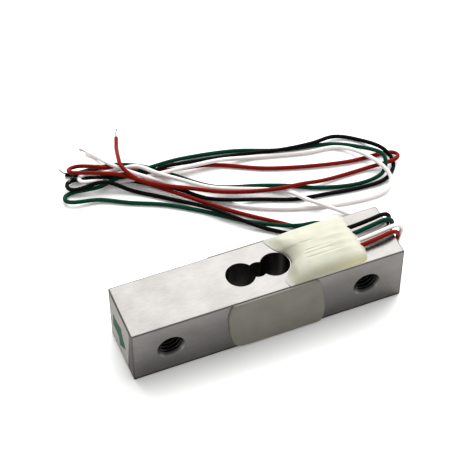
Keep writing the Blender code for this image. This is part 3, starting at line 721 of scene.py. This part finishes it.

# %% [markdown]
# ## Dark edges, and painted shade at the foot
# Every edge of the bar is drawn as a thin dark line. A point is
# near an edge where it lies close to two of the bar's faces at once: each axis counts as one when
# the point is near that axis's face, and a sum from 1 to 2 leads from the plain face to the edge.
# Round the bar's foot the line is darker and up to 0.7 mm high: this is painted shade, a contact
# shadow where the bar stands on the bench.

# %% Dark edges, then dress the bar
FOOT_SHADE_HEIGHT = 0.0007
EDGE_SHARE = 0.5

# Painted shade: a contact shadow on the lowest 0.7 mm of the bar, where it stands on the bench.
foot_shade = add_node(alloy_tree, "ShaderNodeMapRange", {
    "Value": axes.outputs["Z"], "From Min": FOOT_SHADE_HEIGHT, "From Max": FOOT_SHADE_HEIGHT / 2})
faces_near = None
for axis, centre, size in zip("XYZ", bar_middle, (bar_length, bar_width, bar_height)):
    offset = add_node(alloy_tree, "ShaderNodeMath", {
        0: axes.outputs[axis], 1: centre}, operation="SUBTRACT")
    distance = add_node(alloy_tree, "ShaderNodeMath", {
        0: offset.outputs["Value"]}, operation="ABSOLUTE")
    near = add_node(alloy_tree, "ShaderNodeMapRange", {
        "Value": distance.outputs["Value"], "From Min": size / 2 - 1.5 * EDGE_BREAK,
        "From Max": size / 2 - EDGE_BREAK})
    if axis == "Z":
        near = add_node(alloy_tree, "ShaderNodeMath", {
            0: near.outputs["Result"], 1: foot_shade.outputs["Result"]}, operation="MAXIMUM")
    if faces_near:
        near = add_node(alloy_tree, "ShaderNodeMath", {
            0: faces_near.outputs[0], 1: near.outputs[0]}, operation="ADD")
    faces_near = near
darkest = add_node(alloy_tree, "ShaderNodeMapRange", {
    "Value": foot_shade.outputs["Result"], "To Min": EDGE_SHARE, "To Max": 1.0})
edge_lines_and_foot_shade = add_node(alloy_tree, "ShaderNodeMapRange", {
    "Value": faces_near.outputs[0], "From Min": 1.0, "From Max": 2.0,
    "To Max": darkest.outputs["Result"]})
# Dark lines along every edge, and the painted contact shadow at the foot.
edge_and_foot_shade_tint = add_node(alloy_tree, "ShaderNodeMix", {
    "Factor": edge_lines_and_foot_shade.outputs["Result"], "A": hole_shaded_tint.outputs["Result"], "B": linear("#2f2b29"),
}, data_type="RGBA")
alloy_tree.links.new(edge_and_foot_shade_tint.outputs["Result"], alloy_shader.inputs["Base Color"])

dress(bar, alloy)
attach(bar, "root")
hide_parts("load_cell_body")
print(f"bar dressed in {alloy.name}")

# %% [markdown]
# ## Growing a poured shape
# The sealant pads and the silicone lump were spread by hand, so they have a soft free outline and a
# crowned top. Each starts as a circle primitive whose points are moved to the outline. Its face is
# then extruded again and again, each time smaller and higher, and the last small face is merged
# into a point. That is how a dome is made by hand, and a function that tells the height at each
# point shapes it.


# %% Outline and growth of a poured piece
def closed_smooth(points, steps):
    """Closed smooth curve through flat points."""
    looped = [Vector((*point, 0.0)) for point in points]
    turns = smooth_curve([looped[-1], *looped, looped[0], looped[1]], steps)
    return turns[steps:-steps - 1]


def grow(outline, middle, shares, height):
    """A closed lump over an outline in the XY plane; height(x, y, share) is above that plane."""
    bpy.ops.object.select_all(action="DESELECT")
    bpy.ops.mesh.primitive_circle_add(vertices=len(outline), radius=0.01, fill_type="NGON")
    lump = bpy.context.object
    for vertex, point in zip(lump.data.vertices, outline):
        vertex.co = point
    bpy.ops.object.mode_set(mode="EDIT")
    bpy.ops.mesh.select_all(action="SELECT")
    last = 1.0
    for share in shares:
        bpy.ops.mesh.extrude_region_move()
        shape = bmesh.from_edit_mesh(lump.data)
        for vertex in shape.verts:
            if vertex.select:
                flat = Vector((vertex.co.x, vertex.co.y, 0.0)) - middle
                flat = middle + flat * (share / last)
                vertex.co = (flat.x, flat.y, height(flat.x, flat.y, share))
        bmesh.update_edit_mesh(lump.data)
        last = share
    bpy.ops.mesh.merge(type="CENTER")
    bpy.ops.mesh.select_all(action="SELECT")
    bpy.ops.mesh.normals_make_consistent(inside=False)
    bpy.ops.object.mode_set(mode="OBJECT")
    return lump


# %% [markdown]
# ## Sealant pads
# The strain gauges sit on the front and back faces under a thin pad of sealant, which keeps damp
# away. Its grey-green colour is painted shade: a darker copy of the lump's cream silicone, as dark
# as the shaded front face. Its ends bow outwards and its face is almost flat, with a rounded rim
# that settled against the metal and slow swells from the spatula. The back pad was spread thinner
# towards its rim. The outline is given in shares of the pad's length and height, so a new size
# keeps its form.

# %% Front and back pads
PAD_LEFT = -0.0085
PAD_RIGHT = 0.0112
PAD_EDGE_GAP = 0.00015
PAD_THICKNESS = 0.00055
PAD_SHAPE = [(0.05, 1.0), (0.0, 0.82), (0.0, 0.5), (0.02, 0.27), (0.08, 0.05), (0.3, 0.0),
             (0.6, 0.0), (0.88, 0.0), (0.965, 0.02), (1.0, 0.25), (0.985, 0.53), (0.95, 0.86),
             (0.92, 0.98), (0.6, 1.0), (0.3, 1.0)]
PAD_STEPS = 10
PAD_RIM = 0.05
SPREAD_RIM = 0.3
PAD_SHARES = [1.0, 0.995, 0.985, 0.97, 0.95, 0.92, 0.86, 0.78, 0.68, 0.58, 0.48, 0.38, 0.28, 0.18,
              0.09]
RIM_HEIGHT = 0.28
DOME_HEIGHT = 0.66
PAD_SWELL_MM, PAD_SWELL_HEIGHT = 4.0, 0.05
PAD_RIPPLE_MM, PAD_RIPPLE_HEIGHT = 1.5, 0.015
pad_half = bar_height / 2 - PAD_EDGE_GAP


def pad_height(rim):
    """Steep over the rim's share, then nearly flat, with slow swells."""
    def height(x, y, share):
        rise = min(1.0, (1.0 - share) / rim)
        swell = noise.noise(Vector((x, y, 0.0)) / (PAD_SWELL_MM * MM)) * PAD_SWELL_HEIGHT
        ripple = noise.noise(Vector((x, y, 9.0)) / (PAD_RIPPLE_MM * MM)) * PAD_RIPPLE_HEIGHT
        dome = DOME_HEIGHT * math.sqrt(rise * (2 - rise))
        return PAD_THICKNESS * (RIM_HEIGHT + dome + (swell + ripple) * rise)
    return height


def make_pad(name, side, rim):
    """One pad, grown flat and then turned onto the front (side -1) or back (side 1) face."""
    outline = closed_smooth(
        [(PAD_LEFT + u * (PAD_RIGHT - PAD_LEFT), -side * (2 * v - 1) * pad_half)
         for u, v in PAD_SHAPE], PAD_STEPS)
    for point in outline:
        point.y = min(max(point.y, -pad_half), pad_half)
    middle = Vector(((PAD_LEFT + PAD_RIGHT) / 2, 0.0, 0.0))
    pad = grow(outline, middle, PAD_SHARES, pad_height(rim))
    pad.rotation_euler = (-side * ALONG_Y, 0.0, 0.0)
    pad.location = (0.0, side * bar_width / 2, bar_middle.z)
    settle(pad, name)
    bpy.ops.object.shade_smooth_by_angle(angle=math.radians(60))
    return pad


pads = [make_pad("front_sealant_pad", -1, PAD_RIM), make_pad("back_sealant_pad", 1, SPREAD_RIM)]
print(f"pads: {len(pads[0].data.polygons)} faces each")

# %% [markdown]
# ## Silicone lump
# Over the solder terminals sits a lump of cream silicone. It was pressed on with a spatula, so its
# left end curves round the relief hole and thins out into two flanges, its right end is steep, and
# long streaks run between the four leads that it hides. The height function adds up those forms: a
# crown that slopes down to the back, the leads' ridges, the streaks between them, and slow waves
# from noise. A value that ends in FROM is where a form sets in, and one in OVER is the length on
# which it comes to its full height.


# %% Height of the silicone over the terminals
COVER_START = RELIEF_SPACING / 2
COVER_END = 0.0208
COVER_SIDE = bar_width / 2 - 0.0001
COVER_RIM = 0.0003
COVER_CROWN = 0.00205
COVER_THICK_FROM = 0.012
COVER_MIDDLE = 0.0125
COVER_SHARES = [1.0, 0.995, 0.985, 0.97, 0.95] + [0.92 - 0.02 * k for k in range(46)]
COVER_STEPS = 26
FLANGE_CROWN = 0.8
CROWN_FROM, CROWN_OVER = 0.004, 0.0025
SLOPE_FROM, SLOPE_OVER, SLOPE_DROP = 0.0015, 0.0045, 0.28
STREAKS = [(0.0012, 0.0084, 0.0126), (-0.0009, 0.0086, 0.0157),
           (-0.0017, 0.0084, 0.0152), (-0.0027, 0.0083, 0.0170)]
STREAK_DEPTH = 0.0001
STREAK_WIDTH = 0.00014
STREAK_SWAY = 0.0002
LEAD_ROWS = [-0.003, -0.0011, 0.0008, 0.0027]
LEAD_RIDGE = 0.00014
LEAD_RIDGE_WIDTH = 0.00055
RIDGES_FROM, RIDGES_OVER = 0.0115, 0.004
WAVE_MM, WAVE_HEIGHT = 3.0, 0.0001


def ramp(value, over):
    """0 below zero, 1 above the given value, and a soft S between them."""
    t = min(1.0, max(0.0, value / over))
    return t * t * (3 - 2 * t)


def streak(x, y):
    """Depth share of the spatula's streaks, each from one x to another."""
    y += STREAK_SWAY * noise.noise(Vector((x / (5 * MM), 3.0, 0.0)))
    return sum(math.exp(-((y - line) / STREAK_WIDTH) ** 2)
               * ramp(x - start, 0.0012) * ramp(end - x, 0.002)
               for line, start, end in STREAKS)


def lump_height(x, y, share):
    """Height over the bar's top; share is 1 on the outline and falls to 0 in the middle."""
    if x > COVER_MIDDLE:
        along = (x - COVER_MIDDLE) / (COVER_END - COVER_MIDDLE)
        share = min(1.0, max(share, (along ** 6 + (y / COVER_SIDE) ** 6) ** (1 / 6)))
    thick = ramp(x - COVER_START + 0.0015, COVER_THICK_FROM - COVER_START)
    spread = 1.0 - share ** 2
    steep = math.sqrt(max(0.0, 1.0 - share ** 4))
    crown = COVER_CROWN * (spread * (1 - thick) * FLANGE_CROWN + steep * thick)
    crown *= ramp(x - CROWN_FROM, CROWN_OVER) * (1 - SLOPE_DROP * ramp(y - SLOPE_FROM, SLOPE_OVER))
    ridges = sum(math.exp(-((y - row) / LEAD_RIDGE_WIDTH) ** 2) for row in LEAD_ROWS)
    over_leads = ramp(x - RIDGES_FROM, RIDGES_OVER) * math.sqrt(1 - share)
    waves = noise.noise(Vector((x, y, 4.0)) / (WAVE_MM * MM)) * WAVE_HEIGHT
    waves *= min(1.0, (1 - share) / 0.2)
    return (COVER_RIM * (0.2 + 0.8 * thick) + crown + LEAD_RIDGE * ridges * over_leads
            - STREAK_DEPTH * streak(x, y) + waves * thick)


# %% Outline of the lump, and its growth
notch = RELIEF_RADIUS + 0.00025
half_way = (COVER_START + COVER_END) / 2
turns = [math.radians(angle) for angle in (60, 30, 0, -30, -60)]
cover_points = [(COVER_START + notch * math.cos(a), notch * math.sin(a)) for a in turns]
cover_points += [(x, y * COVER_SIDE) for x, y in (
    (COVER_START + 0.0002, -0.75), (COVER_START + 0.0007, -1.0), (half_way, -1.0),
    (COVER_END - 0.0013, -1.0), (COVER_END - 0.0004, -0.73), (COVER_END, -0.3),
    (COVER_END - 0.0003, 0.1), (COVER_END - 0.0006, 0.45), (COVER_END - 0.0009, 1.0),
    (half_way, 1.0), (COVER_START + 0.0003, 1.0), (COVER_START + 0.0008, 0.66))]
cover_outline = closed_smooth(cover_points, COVER_STEPS)
for point in cover_outline:
    point.y = min(max(point.y, -COVER_SIDE), COVER_SIDE)
lump = grow(cover_outline, Vector((COVER_MIDDLE, 0.0, 0.0)), COVER_SHARES, lump_height)
lump.location = (0.0, 0.0, bar_high.z)
settle(lump, "silicone_lump")
bpy.ops.object.shade_smooth_by_angle(angle=math.radians(60))
print(f"silicone: {len(lump.data.polygons)} faces, {lump.dimensions.z / MM:.2f} mm high")

# %% [markdown]
# ## Sealant and silicone finishes
# Both are silicone rubbers, poured or spread and left to cure. The pads' silicone is coloured a
# darker greyish green as painted shade of the bar's front face, and hardly lets light in. The lump
# is cream and slightly translucent, so light spreads inside it. Cured silicone has an IOR of about
# 1.41 and a soft sheen. One recipe makes both rubbers: slow patches of an aged colour, and a fine
# uneven skin.


# %% Two silicones
SILICONE_IOR = 1.41


def cured_silicone(name, colour, aged, patch_mm, roughness, grain_mm, grain_depth_mm):
    """Silicone rubber; also gives its shader, its tint and its Texture Coordinate node."""
    made, tree, shader = new_material(name, IOR=SILICONE_IOR)
    place = add_node(tree, "ShaderNodeTexCoord")
    patches = add_node(tree, "ShaderNodeTexNoise", {
        "Vector": place.outputs["Object"], "Scale": 1 / (patch_mm * MM), "Detail": 4.0})
    share = add_node(tree, "ShaderNodeMapRange", {
        "Value": patches.outputs["Fac"], "From Min": 0.35, "From Max": 0.7})
    tint = add_node(tree, "ShaderNodeMix", {
        "Factor": share.outputs["Result"], "A": linear(colour), "B": linear(aged),
    }, data_type="RGBA")
    dull = add_node(tree, "ShaderNodeMapRange", {
        "Value": patches.outputs["Fac"], "To Min": roughness - 0.1, "To Max": roughness + 0.1})
    grain = add_node(tree, "ShaderNodeTexNoise", {
        "Vector": place.outputs["Object"], "Scale": 1 / (grain_mm * MM), "Detail": 3.0})
    bump = add_node(tree, "ShaderNodeBump", {
        "Height": grain.outputs["Fac"], "Strength": 0.4, "Distance": grain_depth_mm * MM})
    tree.links.new(tint.outputs["Result"], shader.inputs["Base Color"])
    tree.links.new(dull.outputs["Result"], shader.inputs["Roughness"])
    tree.links.new(bump.outputs["Normal"], shader.inputs["Normal"])
    return made, tree, shader, tint, place


# Painted shade: the pads' colour is a darker copy of the lump's cream silicone.
shaded_pad_rubber, *_ = cured_silicone(
    "shade_darkened_silicone_sealant", "#67655b", "#5f5d53",
    patch_mm=5.0, roughness=0.5, grain_mm=0.7, grain_depth_mm=0.02)
for pad, node in zip(pads, ("front_gauge_cover", "back_gauge_cover")):
    dress(pad, shaded_pad_rubber)
    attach(pad, "root")
    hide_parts(node)
lump_rubber, lump_tree, lump_shader, lump_tint, lump_place = cured_silicone(
    "cream_silicone", "#a7a797", "#a09f8d",
    patch_mm=3.0, roughness=0.42, grain_mm=0.5, grain_depth_mm=0.03)
print(f"pads dressed in {shaded_pad_rubber.name}")

# %% [markdown]
# ## Painted shade and thin places of the lump
# The lump is painted darker and yellower along its front edge, as shade on the slope that turns
# away from the softbox, and paler towards its right end. Where the silicone is only a film, the grey
# metal shows through it. Light goes 0.8 mm deep into the rest, and red goes deepest, which gives the
# cream colour its warmth.

# %% Painted front shade, thin film and light inside
FRONT_SHADE_FROM, FRONT_SHADE_FULL = -0.0048, -0.0066
PALER_FROM, PALER_FULL = 0.0125, 0.0175
FILM_FROM, FILM_FULL, FILM_SHARE = 0.0004, 0.00005, 0.8
LIGHT_DEPTH = 0.0008

lump_axes = add_node(lump_tree, "ShaderNodeSeparateXYZ", {"Vector": lump_place.outputs["Object"]})
towards_end = add_node(lump_tree, "ShaderNodeMapRange", {
    "Value": lump_axes.outputs["X"], "From Min": PALER_FROM, "From Max": PALER_FULL})
front_shade_colour = add_node(lump_tree, "ShaderNodeMix", {
    "Factor": towards_end.outputs["Result"], "A": linear("#96937c"), "B": linear("#bab288"),
}, data_type="RGBA")
# Painted shade: darker and yellower along the lump's front edge, paler towards its right end.
front_shade_share = add_node(lump_tree, "ShaderNodeMapRange", {
    "Value": lump_axes.outputs["Y"], "From Min": FRONT_SHADE_FROM, "From Max": FRONT_SHADE_FULL})
front_shaded_tint = add_node(lump_tree, "ShaderNodeMix", {
    "Factor": front_shade_share.outputs["Result"], "A": lump_tint.outputs["Result"],
    "B": front_shade_colour.outputs["Result"],
}, data_type="RGBA")
film = add_node(lump_tree, "ShaderNodeMapRange", {
    "Value": lump_axes.outputs["Z"], "From Min": bar_high.z + FILM_FROM,
    "From Max": bar_high.z + FILM_FULL, "To Max": FILM_SHARE})
over_metal = add_node(lump_tree, "ShaderNodeMix", {
    "Factor": film.outputs["Result"], "A": front_shaded_tint.outputs["Result"], "B": linear("#8e8f88"),
}, data_type="RGBA")
lump_tree.links.new(over_metal.outputs["Result"], lump_shader.inputs["Base Color"])
lump_shader.inputs["Subsurface Weight"].default_value = 0.25
lump_shader.inputs["Subsurface Radius"].default_value = (1.0, 0.8, 0.5)
lump_shader.inputs["Subsurface Scale"].default_value = LIGHT_DEPTH
dress(lump, lump_rubber)
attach(lump, "root")
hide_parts("lead_cover")
print(f"lump dressed in {lump_rubber.name}")

# %% [markdown]
# ## End label
# A sticker with rounded corners sits on the left end. It was stuck on by hand, a little askew, so a
# narrow strip of bare metal shows on both sides of it. Its green arrow shows which way the load has
# to push, and it is print: a layer of about ten micrometres. Sticker and arrow are made in the same
# way. A flat primitive's corners are moved to their places, rounded with a bevel where they need
# it, and the face is extruded away from the bar.

# %% Sticker and arrow
LABEL_CORNER = 0.0005
PRINT_THICKNESS = 0.00001
label_low, label_high = (Vector(corner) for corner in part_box("end_label"))
LABEL_CORNERS = [(-0.0034, 0.0004), (0.0059, 0.0004), (-0.0054, 0.0123), (0.0049, 0.0123)]
ARROW = [(0.0039, 0.0083), (0.0043, 0.0047), (0.0012, 0.0044), (0.0008, 0.0023),
         (-0.0029, 0.0051), (-0.0014, 0.0068), (-0.0006, 0.00875), (0.0027, 0.0080)]


def flat_piece(piece, name, x, corners, thickness, rounding=0.0):
    """Turn a flat primitive into a thin piece on the bar's left end."""
    for vertex, (y, z) in zip(piece.data.vertices, corners):
        vertex.co = (x, y, z)
    bpy.ops.object.mode_set(mode="EDIT")
    bpy.ops.mesh.select_all(action="SELECT")
    if rounding:
        bpy.ops.mesh.bevel(offset=rounding, segments=6, affect="VERTICES")
    bpy.ops.mesh.extrude_region_move(TRANSFORM_OT_translate={"value": (-thickness, 0.0, 0.0)})
    bpy.ops.mesh.select_all(action="SELECT")
    bpy.ops.mesh.normals_make_consistent(inside=False)
    bpy.ops.object.mode_set(mode="OBJECT")
    return settle(piece, name)


bpy.ops.object.select_all(action="DESELECT")
bpy.ops.mesh.primitive_plane_add(size=1.0)
sticker = flat_piece(bpy.context.object, "end_sticker", label_high.x, LABEL_CORNERS,
                     label_high.x - label_low.x, LABEL_CORNER)

bpy.ops.object.select_all(action="DESELECT")
bpy.ops.mesh.primitive_circle_add(vertices=len(ARROW), radius=0.003, fill_type="NGON")
arrow = flat_piece(bpy.context.object, "load_arrow_print", label_low.x, ARROW, PRINT_THICKNESS)
print(f"sticker {sticker.dimensions.y / MM:.1f} x {sticker.dimensions.z / MM:.1f} mm")

# %% [markdown]
# ## Plain finishes
# The sticker is white coated paper, coloured grey as painted shade of the bar's left end, and its
# print is ink. The small hidden pieces under the pads and the silicone, which the CAD model makes,
# get the finishes of their real materials as well: polyimide gauges, glass epoxy, copper and solder.
# All of them use the grained recipe of the tinned strands.

# %% Sticker, ink and hidden pieces
# Painted shade: the white sticker paper is coloured grey, as dark as the shaded left end.
shaded_sticker_paper = speckled(
    "coated_label_paper", "#979490", "#8e8b87", 2.0, 0.6, Specular_IOR_Level=0.02)
label_ink = speckled(
    "green_label_ink", "#315442", "#2b4a3a", 0.6, 0.6, Specular_IOR_Level=0.02)
for piece, finish in ((sticker, shaded_sticker_paper), (arrow, label_ink)):
    dress(piece, finish)
    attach(piece, "root")
    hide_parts("end_label")

HIDDEN = {
    "strain_gauge": speckled("polyimide_gauge_foil", "#a5702c", "#8a5a20", 0.3, 0.4, IOR=1.7),
    "solder_tabs": speckled("tinned_tab_copper", "#b98a68", "#a5795a", 0.3, 0.35, Metallic=1.0),
    "jumper": speckled("enamelled_copper_wire", "#6b3a2b", "#5a2f22", 0.3, 0.45, IOR=1.6),
    "terminal_strip": speckled("glass_epoxy_board", "#c9b77a", "#b7a468", 0.25, 0.45, IOR=1.55),
    "solder_joint": speckled("tin_solder", "#b9b9b6", "#a6a6a3", 0.2, 0.3, Metallic=1.0),
}
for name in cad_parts:
    for start, finish in HIDDEN.items():
        if name.startswith(start):
            dress(bpy.data.objects[name], finish)
            print(name, "gets", finish.name)
